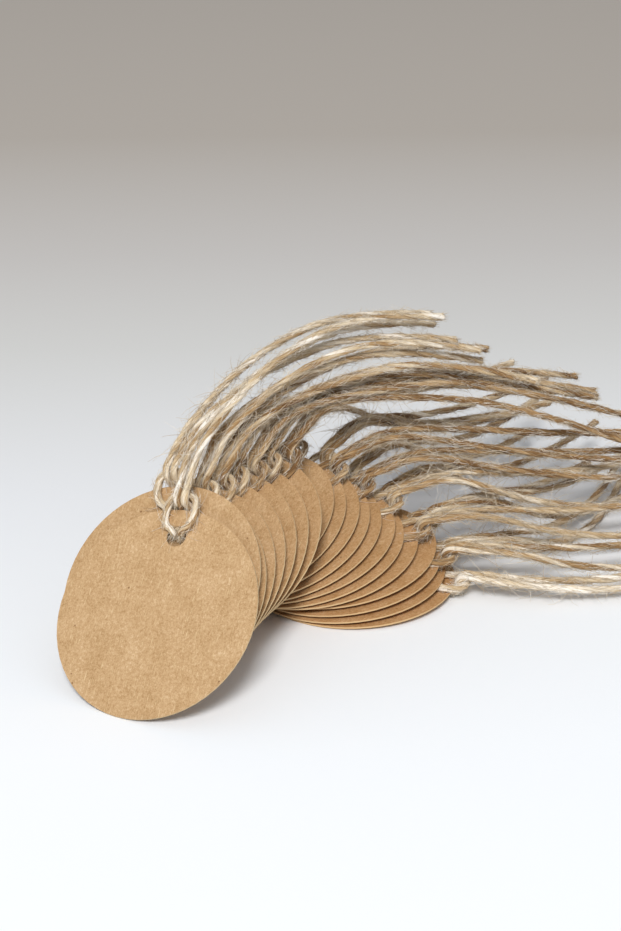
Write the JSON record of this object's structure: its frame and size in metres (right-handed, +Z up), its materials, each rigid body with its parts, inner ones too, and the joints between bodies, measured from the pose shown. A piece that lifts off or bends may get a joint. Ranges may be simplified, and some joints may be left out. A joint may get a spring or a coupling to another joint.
{
  "type": "pile of round gift tags",
  "caption": "Fanned pile of round kraft card gift tags, each punched near its rim and strung on a folded jute twine in a cow hitch, with free tails for tying.",
  "frame": {"origin": "on the table under the middle of the cards' box, the twines not counted", "axes": "+Z up from the table; the low tags lie at the right, the front ones lean on them towards -X and -Y, and the twine tails run towards +X and +Y"},
  "size_m": [0.1957, 0.1618, 0.0669],
  "materials": {
    "kraft_card": "matte, unbleached, with fibre flecks",
    "jute_twine": "matte, hairy, twisted"
  },
  "bodies": {
    "strung_tag_01": {"tag_01": "kraft_card", "twine_01": "jute_twine"},
    "strung_tag_02": {"tag_02": "kraft_card", "twine_02": "jute_twine"},
    "strung_tag_03": {"tag_03": "kraft_card", "twine_03": "jute_twine"},
    "strung_tag_04": {"tag_04": "kraft_card", "twine_04": "jute_twine"},
    "strung_tag_05": {"tag_05": "kraft_card", "twine_05": "jute_twine"},
    "strung_tag_06": {"tag_06": "kraft_card", "twine_06": "jute_twine"},
    "strung_tag_07": {"tag_07": "kraft_card", "twine_07": "jute_twine"},
    "strung_tag_08": {"tag_08": "kraft_card", "twine_08": "jute_twine"},
    "strung_tag_09": {"tag_09": "kraft_card", "twine_09": "jute_twine"},
    "strung_tag_10": {"tag_10": "kraft_card", "twine_10": "jute_twine"},
    "strung_tag_11": {"tag_11": "kraft_card", "twine_11": "jute_twine"},
    "strung_tag_12": {"tag_12": "kraft_card", "twine_12": "jute_twine"},
    "strung_tag_13": {"tag_13": "kraft_card", "twine_13": "jute_twine"},
    "strung_tag_14": {"tag_14": "kraft_card", "twine_14": "jute_twine"},
    "strung_tag_15": {"tag_15": "kraft_card", "twine_15": "jute_twine"},
    "strung_tag_16": {"tag_16": "kraft_card", "twine_16": "jute_twine"},
    "strung_tag_17": {"tag_17": "kraft_card", "twine_17": "jute_twine"},
    "strung_tag_18": {"tag_18": "kraft_card", "twine_18": "jute_twine"},
    "strung_tag_19": {"tag_19": "kraft_card", "twine_19": "jute_twine"},
    "strung_tag_20": {"tag_20": "kraft_card", "twine_20": "jute_twine"}
  },
  "joints": [
    {"name": "lift_02", "type": "slide", "parent": "strung_tag_01", "child": "strung_tag_02", "axis": [0, 0, 1], "range_m": [0, 0.03]},
    {"name": "lift_03", "type": "slide", "parent": "strung_tag_02", "child": "strung_tag_03", "axis": [0, 0, 1], "range_m": [0, 0.03]},
    {"name": "lift_04", "type": "slide", "parent": "strung_tag_03", "child": "strung_tag_04", "axis": [0, 0, 1], "range_m": [0, 0.03]},
    {"name": "lift_05", "type": "slide", "parent": "strung_tag_04", "child": "strung_tag_05", "axis": [0, 0, 1], "range_m": [0, 0.03]},
    {"name": "lift_06", "type": "slide", "parent": "strung_tag_05", "child": "strung_tag_06", "axis": [0, 0, 1], "range_m": [0, 0.03]},
    {"name": "lift_07", "type": "slide", "parent": "strung_tag_06", "child": "strung_tag_07", "axis": [0, 0, 1], "range_m": [0, 0.03]},
    {"name": "lift_08", "type": "slide", "parent": "strung_tag_07", "child": "strung_tag_08", "axis": [0, 0, 1], "range_m": [0, 0.03]},
    {"name": "lift_09", "type": "slide", "parent": "strung_tag_08", "child": "strung_tag_09", "axis": [0, 0, 1], "range_m": [0, 0.03]},
    {"name": "lift_10", "type": "slide", "parent": "strung_tag_09", "child": "strung_tag_10", "axis": [0, 0, 1], "range_m": [0, 0.03]},
    {"name": "lift_11", "type": "slide", "parent": "strung_tag_10", "child": "strung_tag_11", "axis": [0, 0, 1], "range_m": [0, 0.03]},
    {"name": "lift_12", "type": "slide", "parent": "strung_tag_11", "child": "strung_tag_12", "axis": [0, 0, 1], "range_m": [0, 0.03]},
    {"name": "lift_13", "type": "slide", "parent": "strung_tag_12", "child": "strung_tag_13", "axis": [0, 0, 1], "range_m": [0, 0.03]},
    {"name": "lift_14", "type": "slide", "parent": "strung_tag_13", "child": "strung_tag_14", "axis": [0, 0, 1], "range_m": [0, 0.03]},
    {"name": "lift_15", "type": "slide", "parent": "strung_tag_14", "child": "strung_tag_15", "axis": [0, 0, 1], "range_m": [0, 0.03]},
    {"name": "lift_16", "type": "slide", "parent": "strung_tag_15", "child": "strung_tag_16", "axis": [0, 0, 1], "range_m": [0, 0.03]},
    {"name": "lift_17", "type": "slide", "parent": "strung_tag_16", "child": "strung_tag_17", "axis": [0, 0, 1], "range_m": [0, 0.03]},
    {"name": "lift_18", "type": "slide", "parent": "strung_tag_17", "child": "strung_tag_18", "axis": [0, 0, 1], "range_m": [0, 0.03]},
    {"name": "lift_19", "type": "slide", "parent": "strung_tag_18", "child": "strung_tag_19", "axis": [0, 0, 1], "range_m": [0, 0.03]},
    {"name": "lift_20", "type": "slide", "parent": "strung_tag_19", "child": "strung_tag_20", "axis": [0, 0, 1], "range_m": [0, 0.03]}
  ]
}
